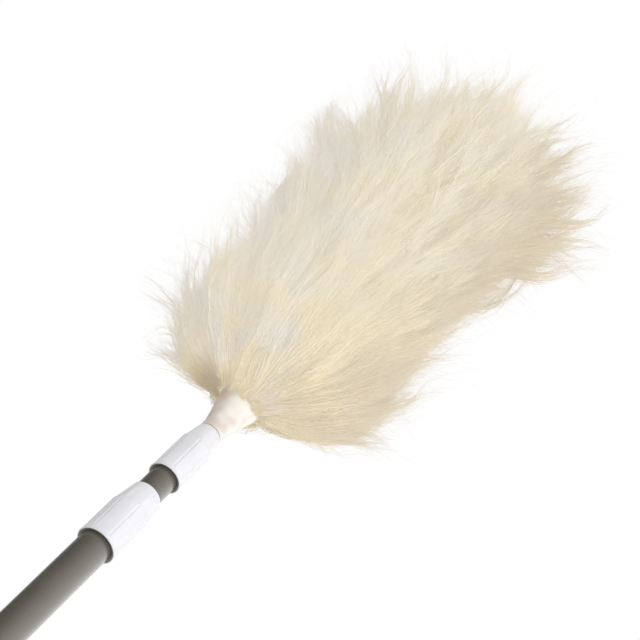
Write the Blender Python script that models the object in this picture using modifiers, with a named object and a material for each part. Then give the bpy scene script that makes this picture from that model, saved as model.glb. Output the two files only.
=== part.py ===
"""Telescopic lambswool duster: three steel tubes, two twist-lock collars and a wool head.

Metres, +Z along the pole from the handle end to the wool, origin at the middle of the
flat end of the handle cap. The pole stands almost fully pushed together.
"""

import math

import bmesh
import bpy
import numpy as np
from mathutils import Matrix

# Fits: what seats on or slides in something keeps this gap to it, on the radius or along Z
CLEAR = 0.0003
# Sides of a turned piece that shows, of one inside the pole, and of a small pin
SIDES = 40
INNER_SIDES = 28
PIN_SIDES = 12

# Tubes, from the handle up: outside radius and the wall that all three share. The outer
# tube has a length, and the others reach down to the free room under their end plugs.
TUBE_WALL = 0.0006
OUTER_TUBE_RADIUS = 0.0110
OUTER_TUBE_LENGTH = 0.400
MIDDLE_TUBE_RADIUS = 0.0093
MIDDLE_ROOM_UNDER_PLUG = 0.0233
INNER_TUBE_RADIUS = 0.0076
INNER_ROOM_UNDER_PLUG = 0.0091

# What shows of the middle tube between the collars, and of the inner one under the ferrule
MIDDLE_SHOWING = 0.0195
INNER_SHOWING = 0.0008

# Handle cap with its hanging hole
CAP_RADIUS = 0.0114
CAP_LENGTH = 0.024
CAP_END_ROUND = 0.003
CAP_ROUND_POINTS = 4
CAP_SPIGOT_LENGTH = 0.015
CAP_SPIGOT_WALL = 0.0022
HANG_HOLE_RADIUS = 0.0045
HANG_HOLE_HEIGHT = 0.0125

# Collars: the larger clamps the middle tube, the smaller the inner one
OUTER_COLLAR_RADIUS = 0.0135
OUTER_COLLAR_LENGTH = 0.0535
OUTER_LIP_RADIUS = 0.0105
INNER_COLLAR_RADIUS = 0.0117
INNER_COLLAR_LENGTH = 0.0516
INNER_LIP_RADIUS = 0.0085
COLLAR_OVER_TUBE = 0.028
COLLAR_GRIP_LENGTH = 0.035
COLLAR_EDGE = 0.0006
COLLAR_TAPER_CURVE = 1.35
COLLAR_TAPER_POINTS = 4
GROOVE_COUNT = 7
OUTER_GROOVE_TURN = math.radians(18)
INNER_GROOVE_TURN = math.radians(5)
GROOVE_WIDTH = 0.0018
GROOVE_DEPTH = 0.00055
GROOVE_START = 0.003
GROOVE_SIDES = 8

# Slotted collets: a sleeve round the tube's end and fingers round the tube inside it
COLLET_SLEEVE_LENGTH = 0.021
OUTER_COLLET_WALL = 0.0008
INNER_COLLET_WALL = 0.0008
FINGER_LENGTH = 0.0135
FINGER_TIP_WALL = 0.0008
FINGER_SLOT_WIDTH = 0.0012
FINGER_SLOT_CUTS = 3
FINGER_SLOT_ROOT = 0.003

# Pins that hold each collet on its tube, and the rod in the inner tube
PIN_RADIUS = 0.0012
PIN_HOLE_RADIUS = 0.0015
COLLET_PIN_DEPTH = 0.009
ROD_PIN_DEPTH = 0.012
ROD_PIN_BITE = 0.003

# Guide ring and end plug at the bottom of each sliding tube. The plug's long shoe keeps
# the tubes in line when they are pulled right out.
GUIDE_RING_HEIGHT = 0.0064
GUIDE_RING_SPLIT = 0.002
PLUG_WALL = 0.0020
PLUG_SPIGOT_LENGTH = 0.010
PLUG_SHOE_LENGTH = 0.028

# Ferrule cone
FERRULE_LENGTH = 0.0355
FERRULE_NECK_RADIUS = 0.00835
FERRULE_NECK_LENGTH = 0.0055
FERRULE_MOUTH_RADIUS = 0.0150
FERRULE_MOUTH_WALL = 0.0012
FERRULE_CUP_DEPTH = 0.0045
FERRULE_SEAT_DEPTH = 0.0125
FERRULE_CURVE = 1.12
FERRULE_POINTS = 5

# Wooden rod in the head
ROD_RADIUS = 0.0090
ROD_LENGTH = 0.340
ROD_SPIGOT_RADIUS = 0.0064
ROD_SPIGOT_REACH = 0.022
ROD_TIP_ROUND = 0.002

# Sheepskin strip wound round the rod, and the tacks at its two ends
HIDE_THICKNESS = 0.0028
HIDE_WIDTH = 0.034
HIDE_PITCH = 0.0365
HIDE_STEPS_PER_TURN = 16
HIDE_TIP_MARGIN = 0.005
TACK_HEAD_RADIUS = 0.0022
TACK_HEAD_HEIGHT = 0.0008
TACK_SHANK_RADIUS = 0.0007
TACK_BITE = 0.0040

# Wool: its outline on four sides, as height over the ferrule's mouth and distance from
# the rod's axis. On -X it flares out flat at the mouth, on +Y it sweeps forward at once.
WOOL_LEFT_SIDE = (
    (0.002, 0.033), (0.012, 0.065), (0.032, 0.082), (0.074, 0.089), (0.125, 0.082),
    (0.165, 0.091), (0.215, 0.102), (0.255, 0.107), (0.300, 0.102), (0.340, 0.090),
    (0.366, 0.071), (0.382, 0.042),
)
WOOL_RIGHT_SIDE = (
    (0.016, 0.028), (0.036, 0.060), (0.058, 0.086), (0.092, 0.079), (0.125, 0.073),
    (0.155, 0.072), (0.190, 0.070), (0.225, 0.074), (0.265, 0.082), (0.312, 0.097),
    (0.356, 0.114), (0.386, 0.095),
)
WOOL_FAR_SIDE = (
    (0.018, 0.024), (0.052, 0.041), (0.082, 0.060), (0.108, 0.079), (0.136, 0.088),
    (0.168, 0.088), (0.210, 0.086), (0.255, 0.090), (0.300, 0.093), (0.340, 0.090),
    (0.370, 0.070), (0.385, 0.040),
)
WOOL_NEAR_SIDE = (
    (0.002, 0.026), (0.020, 0.056), (0.045, 0.080), (0.085, 0.088), (0.125, 0.086),
    (0.168, 0.085), (0.212, 0.087), (0.255, 0.090), (0.297, 0.090), (0.335, 0.085),
    (0.366, 0.071), (0.386, 0.048),
)
WOOL_TIP_HEIGHT = 0.390
WOOL_ROOT_DEPTH = 0.0085
LOCK_COLUMNS = 16
SIDES_PER_LOCK = 4
LOCK_ROWS = 6
RINGS_PER_LOCK = 4
LOCK_LIFT = 0.0075
LOCK_LEAN = 0.35
LOCK_DIP = 0.6
LOCK_VALLEY = 0.25
GOLDEN_SHARE = 0.618034

COLOURS = {
    "tube_paint": ((0.215, 0.200, 0.165), 0.42, 0.15),
    "white_plastic": ((0.80, 0.79, 0.80), 0.38, 0.0),
    "ferrule_plastic": ((0.82, 0.79, 0.71), 0.40, 0.0),
    "bush_plastic": ((0.10, 0.10, 0.10), 0.5, 0.0),
    "bare_steel": ((0.56, 0.56, 0.55), 0.3, 1.0),
    "rod_wood": ((0.56, 0.39, 0.22), 0.7, 0.0),
    "hide_leather": ((0.66, 0.56, 0.42), 0.8, 0.0),
    "wool": ((0.80, 0.72, 0.56), 0.95, 0.0),
}

# Heights that follow from the sizes above
OUTER_TUBE_BOTTOM = CAP_LENGTH + CLEAR
OUTER_TUBE_TOP = OUTER_TUBE_BOTTOM + OUTER_TUBE_LENGTH
OUTER_COLLAR_REAR = OUTER_TUBE_TOP - COLLAR_OVER_TUBE
INNER_COLLAR_REAR = OUTER_COLLAR_REAR + OUTER_COLLAR_LENGTH + MIDDLE_SHOWING
MIDDLE_TUBE_TOP = INNER_COLLAR_REAR + COLLAR_OVER_TUBE
PLUG_DROP = PLUG_SHOE_LENGTH + GUIDE_RING_HEIGHT + 2 * CLEAR
MIDDLE_TUBE_BOTTOM = CAP_LENGTH + CAP_SPIGOT_LENGTH + MIDDLE_ROOM_UNDER_PLUG + PLUG_DROP
FERRULE_BOTTOM = INNER_COLLAR_REAR + INNER_COLLAR_LENGTH + INNER_SHOWING
FERRULE_MOUTH = FERRULE_BOTTOM + FERRULE_LENGTH
INNER_TUBE_TOP = FERRULE_BOTTOM - CLEAR
INNER_TUBE_BOTTOM = MIDDLE_TUBE_BOTTOM + PLUG_SPIGOT_LENGTH + INNER_ROOM_UNDER_PLUG + PLUG_DROP
ROD_SHOULDER = FERRULE_MOUTH - FERRULE_SEAT_DEPTH + CLEAR
ROD_TIP = ROD_SHOULDER + ROD_LENGTH
HIDE_BOTTOM = FERRULE_MOUTH - FERRULE_CUP_DEPTH + CLEAR
HIDE_INNER_RADIUS = (ROD_RADIUS + CLEAR) / math.cos(math.pi / HIDE_STEPS_PER_TURN)
HIDE_OUTER_RADIUS = HIDE_INNER_RADIUS + HIDE_THICKNESS


def make_material(name):
    """Principled material with the colour, roughness and metallic value listed for it."""
    colour, roughness, metallic = COLOURS[name]
    material = bpy.data.materials.new(name)
    material.use_nodes = True
    shader = material.node_tree.nodes["Principled BSDF"]
    shader.inputs["Base Color"].default_value = (*colour, 1.0)
    shader.inputs["Roughness"].default_value = roughness
    shader.inputs["Metallic"].default_value = metallic
    material.diffuse_color = (*colour, 1.0)
    return material


def add_object(name, mesh, collection, material=None, parent=None):
    """Link a new object, shaded smooth with sharp edges where faces turn by 35 degrees."""
    obj = bpy.data.objects.new(name, mesh)
    collection.objects.link(obj)
    if material is not None:
        mesh.materials.append(material)
    if parent is not None:
        obj.parent = parent
    if mesh.polygons:
        mesh.shade_smooth()
        mesh.set_sharp_from_angle(angle=math.radians(35))
    return obj


def profile_mesh(name, points, closed):
    """Edges through (radius, height) points in the XZ plane, for a Screw modifier."""
    mesh = bpy.data.meshes.new(name)
    edges = [(i, i + 1) for i in range(len(points) - 1)]
    if closed:
        edges.append((len(points) - 1, 0))
    mesh.from_pydata([(r, 0.0, z) for r, z in points], edges, [])
    return mesh


def turned(name, points, collection, material=None, parent=None, sides=SIDES, closed=True):
    """Turn a profile about Z. It runs down the outer side first, then up the bore."""
    obj = add_object(name, profile_mesh(name, points, closed), collection, material, parent)
    screw = obj.modifiers.new("turn", "SCREW")
    screw.axis = "Z"
    screw.steps = sides
    screw.render_steps = sides
    screw.use_merge_vertices = True
    screw.merge_threshold = 0.00001
    screw.use_smooth_shade = True
    return obj


def as_cutter(obj):
    """Keep a cutter out of the render and show it as wire."""
    obj.hide_render = True
    obj.display_type = "WIRE"
    return obj


def cut(obj, cutter):
    """Subtract a cutter from a piece."""
    boolean = obj.modifiers.new("cut_" + cutter.name, "BOOLEAN")
    boolean.operation = "DIFFERENCE"
    boolean.solver = "EXACT"
    boolean.object = cutter


def radial_piece(name, points, angle, height, collection, material=None, parent=None,
                 sides=PIN_SIDES):
    """Turn a profile of (radius, distance from the pole's axis) about a line that points out."""
    obj = turned(name, points, collection, material, parent, sides, closed=False)
    obj.rotation_euler = (0.0, math.pi / 2, angle)
    obj.location.z = height
    return obj


def bar_profile(radius, start, end):
    """Plain round bar between two distances from the pole's axis."""
    return [(0.0, end), (radius, end), (radius, start), (0.0, start)]


def pinned(name, pieces, start, end, hole_start, hole_end, height, parts, cutters,
           material, parent):
    """Two opposite pins, and the holes for them in the pieces that they hold."""
    for side, angle in (("left", math.pi), ("right", 0.0)):
        radial_piece("%s_%s" % (name, side), bar_profile(PIN_RADIUS, start, end), angle,
                     height, parts, material, parent)
        hole = as_cutter(radial_piece(
            "%s_hole_%s" % (name, side), bar_profile(PIN_HOLE_RADIUS, hole_start, hole_end),
            angle, height, cutters))
        for piece in pieces:
            cut(piece, hole)


def tube_profile(radius, bottom, top):
    """Plain tube with the shared wall."""
    bore = radius - TUBE_WALL
    return [(radius, top), (radius, bottom), (bore, bottom), (bore, top)]


def build_cap(parts, cutters, materials, parent):
    """Push-in handle cap: flat end, rounded rim, spigot in the tube and hanging hole."""
    spigot = OUTER_TUBE_RADIUS - TUBE_WALL - CLEAR
    spigot_top = CAP_LENGTH + CAP_SPIGOT_LENGTH
    bore = spigot - CAP_SPIGOT_WALL
    floor = CAP_LENGTH
    lead = CAP_SPIGOT_WALL / 2
    corner = [
        (CAP_RADIUS - CAP_END_ROUND * (1 - math.cos(a)), CAP_END_ROUND * (1 - math.sin(a)))
        for a in np.linspace(0.0, math.pi / 2, CAP_ROUND_POINTS)]
    profile = [
        (0.0, floor), (bore, floor), (bore, spigot_top), (spigot - lead, spigot_top),
        (spigot, spigot_top - lead), (spigot, CAP_LENGTH), (CAP_RADIUS, CAP_LENGTH),
        *corner, (0.0, 0.0)]
    cap = turned("hang_cap", profile, parts, materials["white_plastic"], parent, closed=False)
    reach = CAP_RADIUS * 1.5
    cut(cap, as_cutter(radial_piece("hang_hole", bar_profile(HANG_HOLE_RADIUS, -reach, reach),
                                    0.0, HANG_HOLE_HEIGHT, cutters, sides=SIDES // 2)))


def collar_radius(share, radius, lip_radius):
    """Outside radius of a collar's taper, from the grip (0) to the front lip (1)."""
    return radius - (radius - lip_radius) * share ** COLLAR_TAPER_CURVE


def build_collar(prefix, rear, length, radius, lip_radius, groove_turn, carrier, passing,
                 collet_wall, parts, cutters, materials, parent):
    """Twist-lock nut: wide rear skirt, grooved grip, taper and front lip, conical inside."""
    front = rear + length
    collet_outer = carrier + CLEAR + collet_wall
    skirt_bore = collet_outer + CLEAR
    lip_bore = passing + CLEAR
    finger_tip = rear + COLLAR_OVER_TUBE + CLEAR + FINGER_LENGTH
    cone_top = finger_tip + CLEAR
    cone_top_radius = lip_bore + FINGER_TIP_WALL + CLEAR
    cone_bottom = rear + COLLAR_OVER_TUBE
    taper = [
        (collar_radius(s, radius, lip_radius), rear + COLLAR_GRIP_LENGTH
         + (length - COLLAR_GRIP_LENGTH - COLLAR_EDGE) * s)
        for s in np.linspace(1.0, 0.0, COLLAR_TAPER_POINTS + 1)]
    profile = [
        (lip_bore, front), (lip_radius - COLLAR_EDGE, front), *taper,
        (radius, rear + COLLAR_EDGE), (radius - COLLAR_EDGE, rear), (skirt_bore, rear),
        (skirt_bore, cone_bottom), (cone_top_radius, cone_top), (lip_bore, cone_top)]
    name = prefix + "_collar"
    collar = turned(name, profile, parts, materials["white_plastic"], parent)

    # A groove is cut by a round bar with ball ends that lies just outside the grip
    bar = (GROOVE_DEPTH ** 2 + (GROOVE_WIDTH / 2) ** 2) / (2 * GROOVE_DEPTH)
    distance = radius - GROOVE_DEPTH + bar
    low = rear + GROOVE_START + bar
    high = rear + COLLAR_GRIP_LENGTH
    bm = bmesh.new()
    for i in range(GROOVE_COUNT):
        angle = groove_turn + 2 * math.pi * i / GROOVE_COUNT
        bm_bar = bmesh.ops.create_uvsphere(
            bm, u_segments=GROOVE_SIDES, v_segments=GROOVE_SIDES, radius=bar)
        for v in bm_bar["verts"]:
            v.co.z += high if v.co.z > bar * 0.01 else low
        place = Matrix.Rotation(angle, 4, "Z") @ Matrix.Translation((distance, 0.0, 0.0))
        bmesh.ops.transform(bm, matrix=place, verts=bm_bar["verts"])
    mesh = bpy.data.meshes.new(prefix + "_grooves")
    bm.to_mesh(mesh)
    bm.free()
    cut(collar, as_cutter(add_object(prefix + "_grooves", mesh, cutters)))


def build_collet(prefix, tube, carrier, tube_top, passing, wall, parts, cutters, materials,
                 parent):
    """Sleeve pinned on a tube's end, with slotted fingers that the nut squeezes."""
    sleeve_bore = carrier + CLEAR
    sleeve = sleeve_bore + wall
    shoulder = tube_top + CLEAR
    finger_bore = passing + CLEAR
    finger_top = shoulder + FINGER_LENGTH
    bottom = shoulder - COLLET_SLEEVE_LENGTH
    profile = [
        (finger_bore + FINGER_TIP_WALL, finger_top), (sleeve, shoulder), (sleeve, bottom),
        (sleeve_bore, bottom), (sleeve_bore, shoulder), (finger_bore, shoulder),
        (finger_bore, finger_top)]
    collet = turned(prefix + "_collet", profile, parts, materials["white_plastic"], parent,
                    INNER_SIDES)
    slot_bottom = shoulder + FINGER_SLOT_ROOT
    slot_top = finger_top + FINGER_SLOT_ROOT
    for i in range(FINGER_SLOT_CUTS):
        bm = bmesh.new()
        bmesh.ops.create_cube(bm, size=1.0)
        size = Matrix.Diagonal((sleeve * 3, FINGER_SLOT_WIDTH, slot_top - slot_bottom, 1.0))
        move = Matrix.Translation((0.0, 0.0, (slot_top + slot_bottom) / 2))
        turn = Matrix.Rotation(math.pi * (i + 0.5) / FINGER_SLOT_CUTS, 4, "Z")
        bmesh.ops.transform(bm, matrix=turn @ move @ size, verts=bm.verts)
        mesh = bpy.data.meshes.new("%s_slot_%d" % (prefix, i))
        bm.to_mesh(mesh)
        bm.free()
        cut(collet, as_cutter(add_object(mesh.name, mesh, cutters)))

    # Two pins lie flush in the sleeve and the tube wall
    pinned(prefix + "_collet_pin", (collet, tube), carrier - TUBE_WALL, sleeve,
           carrier - 3 * TUBE_WALL, sleeve + 2 * wall, tube_top - COLLET_PIN_DEPTH,
           parts, cutters, materials["bare_steel"], parent)


def build_guide(prefix, radius, tube_bottom, outer_bore, parts, cutters, materials,
                ring_parent, plug_parent):
    """End plug pushed into a tube's lower end, and the split ring that it traps there."""
    tube_bore = radius - TUBE_WALL
    spigot = tube_bore - CLEAR
    core = spigot - CLEAR
    hole = spigot - PLUG_WALL
    groove_bottom = tube_bottom - GUIDE_RING_HEIGHT - 2 * CLEAR
    bottom = groove_bottom - PLUG_SHOE_LENGTH
    shoe = outer_bore - CLEAR
    top = tube_bottom + PLUG_SPIGOT_LENGTH
    plug = [
        (spigot, top), (spigot, tube_bottom), (core, tube_bottom), (core, groove_bottom),
        (shoe, groove_bottom), (shoe, bottom + CLEAR), (shoe - CLEAR, bottom),
        (hole, bottom), (hole, top)]
    turned(prefix + "_end_plug", plug, parts, materials["bush_plastic"], plug_parent,
           INNER_SIDES)

    ring_outer = outer_bore - CLEAR
    ring_inner = core + CLEAR
    ring_bottom = groove_bottom + CLEAR
    ring_top = ring_bottom + GUIDE_RING_HEIGHT
    ring = [
        (ring_outer - CLEAR, ring_top), (ring_outer, ring_top - CLEAR),
        (ring_outer, ring_bottom + CLEAR), (ring_outer - CLEAR, ring_bottom),
        (ring_inner, ring_bottom), (ring_inner, ring_top)]
    guide = turned(prefix + "_guide_ring", ring, parts, materials["bush_plastic"],
                   ring_parent, INNER_SIDES)
    bm = bmesh.new()
    bmesh.ops.create_cube(bm, size=1.0)
    size = Matrix.Diagonal((ring_outer, GUIDE_RING_SPLIT, GUIDE_RING_HEIGHT * 2, 1.0))
    move = Matrix.Translation((ring_outer, 0.0, (ring_top + ring_bottom) / 2))
    bmesh.ops.transform(bm, matrix=move @ size, verts=bm.verts)
    mesh = bpy.data.meshes.new(prefix + "_ring_split")
    bm.to_mesh(mesh)
    bm.free()
    cut(guide, as_cutter(add_object(mesh.name, mesh, cutters)))


def flare_radius(share):
    """Outside radius of the cone's flare, from the neck (0) to the mouth (1)."""
    return FERRULE_NECK_RADIUS + (FERRULE_MOUTH_RADIUS - FERRULE_NECK_RADIUS) * share ** FERRULE_CURVE


def build_ferrule(parts, materials, parent):
    """Moulded cone: neck on the tube's end, seat for the rod, cup round the hide."""
    neck_top = FERRULE_BOTTOM + FERRULE_NECK_LENGTH
    flare_length = FERRULE_MOUTH - CLEAR - neck_top
    flare = [
        (flare_radius(s), neck_top + flare_length * s)
        for s in np.linspace(1.0, 0.0, FERRULE_POINTS)]
    cup = FERRULE_MOUTH_RADIUS - FERRULE_MOUTH_WALL
    cup_floor = FERRULE_MOUTH - FERRULE_CUP_DEPTH
    cup_root = flare_radius((cup_floor - neck_top) / flare_length) - FERRULE_MOUTH_WALL
    seat = FERRULE_MOUTH - FERRULE_SEAT_DEPTH
    hole = ROD_SPIGOT_RADIUS + CLEAR
    profile = [
        (cup, FERRULE_MOUTH), (FERRULE_MOUTH_RADIUS - CLEAR, FERRULE_MOUTH), *flare,
        (FERRULE_NECK_RADIUS, FERRULE_BOTTOM + CLEAR),
        (FERRULE_NECK_RADIUS - CLEAR, FERRULE_BOTTOM), (hole, FERRULE_BOTTOM), (hole, seat),
        (ROD_RADIUS + CLEAR, seat), (ROD_RADIUS + CLEAR, cup_floor), (cup_root, cup_floor)]
    turned("ferrule_cone", profile, parts, materials["ferrule_plastic"], parent)


def tack_profile(outer, grow):
    """Flat-headed tack, its head flush at a given distance from the axis."""
    under = outer - TACK_HEAD_HEIGHT - grow
    tip = ROD_RADIUS - TACK_BITE - grow
    top = outer + grow * 4
    head = TACK_HEAD_RADIUS + grow
    shank = TACK_SHANK_RADIUS + grow
    return [(0.0, top), (head, top), (head, under), (shank, under), (shank, tip), (0.0, tip)]


def hide_turns():
    """Turns of the strip between the ferrule's cup and the rod's tip."""
    room = ROD_TIP - HIDE_TIP_MARGIN - HIDE_BOTTOM - HIDE_WIDTH
    return room / HIDE_PITCH


def build_head_core(tube, parts, cutters, materials, parent):
    """Rod with its spigot in the inner tube, pins, wound hide strip and its tacks."""
    spigot_bottom = INNER_TUBE_TOP - ROD_SPIGOT_REACH
    lead = ROD_TIP_ROUND / 2
    rod = turned("core_rod", [
        (0.0, ROD_TIP), (ROD_RADIUS - ROD_TIP_ROUND, ROD_TIP), (ROD_RADIUS, ROD_TIP - ROD_TIP_ROUND),
        (ROD_RADIUS, ROD_SHOULDER), (ROD_SPIGOT_RADIUS, ROD_SHOULDER),
        (ROD_SPIGOT_RADIUS, spigot_bottom + lead), (ROD_SPIGOT_RADIUS - lead, spigot_bottom),
        (0.0, spigot_bottom)], parts, materials["rod_wood"], parent, INNER_SIDES, False)
    pin_root = ROD_SPIGOT_RADIUS - ROD_PIN_BITE
    pinned("rod_pin", (rod, tube), pin_root, INNER_TUBE_RADIUS - CLEAR / 6,
           pin_root - CLEAR, INNER_TUBE_RADIUS * 1.5, INNER_TUBE_TOP - ROD_PIN_DEPTH,
           parts, cutters, materials["bare_steel"], parent)

    # One band of hide, swept by a turning step that also climbs
    turns = hide_turns()
    steps = round(turns * HIDE_STEPS_PER_TURN)
    bm = bmesh.new()
    corners = [
        bm.verts.new((r, 0.0, HIDE_BOTTOM + h)) for r, h in (
            (HIDE_INNER_RADIUS, 0.0), (HIDE_OUTER_RADIUS, 0.0),
            (HIDE_OUTER_RADIUS, HIDE_WIDTH), (HIDE_INNER_RADIUS, HIDE_WIDTH))]
    face = bm.faces.new(corners)
    bmesh.ops.spin(
        bm, geom=[face, *face.edges, *face.verts], cent=(0.0, 0.0, 0.0), axis=(0.0, 0.0, 1.0),
        dvec=(0.0, 0.0, turns * HIDE_PITCH / steps), angle=2 * math.pi * turns, steps=steps)
    bmesh.ops.recalc_face_normals(bm, faces=bm.faces)
    mesh = bpy.data.meshes.new("hide_strip")
    bm.to_mesh(mesh)
    bm.free()
    strip = add_object("hide_strip", mesh, parts, materials["hide_leather"], parent)

    # A tack near each end of the band, a sixteenth of a turn in, under the pile
    inset = 1.0 / 16
    head_level = HIDE_OUTER_RADIUS * math.cos(math.pi / HIDE_STEPS_PER_TURN) - CLEAR / 3
    for end, turn in (("bottom", inset), ("top", turns - inset)):
        angle = 2 * math.pi * turn
        height = HIDE_BOTTOM + HIDE_PITCH * turn + HIDE_WIDTH / 2
        radial_piece("strip_tack_" + end, tack_profile(head_level, 0.0), angle, height,
                     parts, materials["bare_steel"], parent)
        hole = as_cutter(radial_piece("tack_hole_" + end, tack_profile(head_level, CLEAR),
                                      angle, height, cutters))
        cut(strip, hole)
        cut(rod, hole)


def smooth_curve(points, share):
    """Point at a share of a Catmull-Rom curve through evenly counted points."""
    rows = np.array(points)
    rows = np.vstack((2 * rows[0] - rows[1], rows, 2 * rows[-1] - rows[-2]))
    place = min(share, 0.999999) * (len(rows) - 3)
    i = int(place)
    t = place - i
    a, b, c, d = rows[i:i + 4]
    return 0.5 * (2 * b + (c - a) * t + (2 * a - 5 * b + 4 * c - d) * t ** 2
                  + (3 * b - a - 3 * c + d) * t ** 3)


def wool_surface(share, angle, column):
    """Height and radius of the wool at a share of its outline and an angle about Z."""
    across = smooth_curve(WOOL_RIGHT_SIDE if math.cos(angle) > 0 else WOOL_LEFT_SIDE, share)
    along = smooth_curve(WOOL_FAR_SIDE if math.sin(angle) > 0 else WOOL_NEAR_SIDE, share)
    height, radius = across * math.cos(angle) ** 2 + along * math.sin(angle) ** 2
    # Locks lie like shingles: each rises to its tip, then drops to the next one's root
    phase = (column * column * GOLDEN_SHARE) % 1.0
    rise = (share * LOCK_ROWS + phase) % 1.0
    crest = math.cos(math.pi * ((angle * LOCK_COLUMNS / (2 * math.pi)) - column)) ** 2
    lift = LOCK_LIFT * (rise ** 1.5 * (1 + LOCK_DIP) - LOCK_DIP)
    lift *= LOCK_VALLEY + (1 - LOCK_VALLEY) * crest
    fade = min(1.0, share * 6.0)
    return height + lift * LOCK_LEAN * fade, radius + lift * fade


def build_wool(parts, materials, parent):
    """Pile as one closed body, lofted between its two outlines, hollow round the hide."""
    sides = LOCK_COLUMNS * SIDES_PER_LOCK
    rings = LOCK_ROWS * RINGS_PER_LOCK
    angles = [2 * math.pi * i / sides for i in range(sides)]
    ferrule_clear = (FERRULE_MOUTH_RADIUS + CLEAR) / math.cos(math.pi / sides)
    hide_clear = (HIDE_OUTER_RADIUS + CLEAR) / math.cos(math.pi / sides)
    root = FERRULE_MOUTH - WOOL_ROOT_DEPTH
    bore_top = ROD_TIP + CLEAR
    bm = bmesh.new()

    def plain_ring(radius, height):
        return [bm.verts.new((radius * math.cos(a), radius * math.sin(a), height))
                for a in angles]

    loops = [
        plain_ring(hide_clear, bore_top), plain_ring(hide_clear, FERRULE_MOUTH + CLEAR),
        plain_ring(ferrule_clear, FERRULE_MOUTH + CLEAR), plain_ring(ferrule_clear, root)]
    for k in range(rings + 1):
        ring = []
        for i, angle in enumerate(angles):
            column = round(i / SIDES_PER_LOCK) % LOCK_COLUMNS
            height, radius = wool_surface(k / rings, angle, column)
            ring.append(bm.verts.new((radius * math.cos(angle), radius * math.sin(angle),
                                      FERRULE_MOUTH + height)))
        loops.append(ring)
    for low, high in zip(loops, loops[1:]):
        for i in range(sides):
            j = (i + 1) % sides
            bm.faces.new((low[i], low[j], high[j], high[i]))
    for loop, height in ((loops[0], bore_top), (loops[-1], FERRULE_MOUTH + WOOL_TIP_HEIGHT)):
        centre = bm.verts.new((0.0, 0.0, height))
        for i in range(sides):
            bm.faces.new((centre, loop[i], loop[(i + 1) % sides]))
    bmesh.ops.recalc_face_normals(bm, faces=bm.faces)
    mesh = bpy.data.meshes.new("wool_pile")
    bm.to_mesh(mesh)
    bm.free()
    add_object("wool_pile", mesh, parts, materials["wool"], parent)


def add_empty(name, height, collection, parent=None):
    """Empty on the pole's axis that carries the pieces of one moving section."""
    empty = bpy.data.objects.new(name, None)
    empty.empty_display_size = 0.02
    collection.objects.link(empty)
    empty.location = (0.0, 0.0, height)
    if parent is not None:
        empty.parent = parent
        empty.location.z -= parent.matrix_world.translation.z
    bpy.context.view_layer.update()
    return empty


def main():
    for obj in list(bpy.data.objects):
        bpy.data.objects.remove(obj)
    parts = bpy.data.collections.new("lambswool_duster")
    cutters = bpy.data.collections.new("cutters")
    bpy.context.scene.collection.children.link(parts)
    bpy.context.scene.collection.children.link(cutters)
    materials = {name: make_material(name) for name in COLOURS}

    # Each moving section hangs on an empty at the origin of the pole's axis
    section = {name: add_empty(name + "_carrier", 0.0, parts) for name in (
        "outer_section", "outer_collar", "middle_guide", "middle_section", "inner_collar",
        "inner_guide", "inner_section")}
    section["outer_collar"].parent = section["outer_section"]
    section["middle_guide"].parent = section["outer_section"]
    section["middle_section"].parent = section["middle_guide"]
    section["inner_collar"].parent = section["middle_section"]
    section["inner_guide"].parent = section["middle_section"]
    section["inner_section"].parent = section["inner_guide"]

    build_cap(parts, cutters, materials, section["outer_section"])
    outer_tube = turned(
        "outer_tube", tube_profile(OUTER_TUBE_RADIUS, OUTER_TUBE_BOTTOM, OUTER_TUBE_TOP),
        parts, materials["tube_paint"], section["outer_section"])
    build_collet(
        "outer", outer_tube, OUTER_TUBE_RADIUS, OUTER_TUBE_TOP, MIDDLE_TUBE_RADIUS,
        OUTER_COLLET_WALL, parts, cutters, materials, section["outer_section"])
    build_collar(
        "outer", OUTER_COLLAR_REAR, OUTER_COLLAR_LENGTH, OUTER_COLLAR_RADIUS,
        OUTER_LIP_RADIUS, OUTER_GROOVE_TURN, OUTER_TUBE_RADIUS, MIDDLE_TUBE_RADIUS,
        OUTER_COLLET_WALL, parts, cutters, materials, section["outer_collar"])

    build_guide(
        "middle", MIDDLE_TUBE_RADIUS, MIDDLE_TUBE_BOTTOM, OUTER_TUBE_RADIUS - TUBE_WALL,
        parts, cutters, materials, section["middle_guide"], section["middle_section"])
    middle_tube = turned(
        "middle_tube", tube_profile(MIDDLE_TUBE_RADIUS, MIDDLE_TUBE_BOTTOM, MIDDLE_TUBE_TOP),
        parts, materials["tube_paint"], section["middle_section"])
    build_collet(
        "inner", middle_tube, MIDDLE_TUBE_RADIUS, MIDDLE_TUBE_TOP, INNER_TUBE_RADIUS,
        INNER_COLLET_WALL, parts, cutters, materials, section["middle_section"])
    build_collar(
        "inner", INNER_COLLAR_REAR, INNER_COLLAR_LENGTH, INNER_COLLAR_RADIUS,
        INNER_LIP_RADIUS, INNER_GROOVE_TURN, MIDDLE_TUBE_RADIUS, INNER_TUBE_RADIUS,
        INNER_COLLET_WALL, parts, cutters, materials, section["inner_collar"])

    build_guide(
        "inner", INNER_TUBE_RADIUS, INNER_TUBE_BOTTOM, MIDDLE_TUBE_RADIUS - TUBE_WALL,
        parts, cutters, materials, section["inner_guide"], section["inner_section"])
    inner_tube = turned(
        "inner_tube", tube_profile(INNER_TUBE_RADIUS, INNER_TUBE_BOTTOM, INNER_TUBE_TOP),
        parts, materials["tube_paint"], section["inner_section"])
    build_ferrule(parts, materials, section["inner_section"])
    build_head_core(inner_tube, parts, cutters, materials, section["inner_section"])
    build_wool(parts, materials, section["inner_section"])


main()
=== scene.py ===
import math

import bmesh
import bpy
import numpy as np
from mathutils import Matrix, Vector


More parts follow.
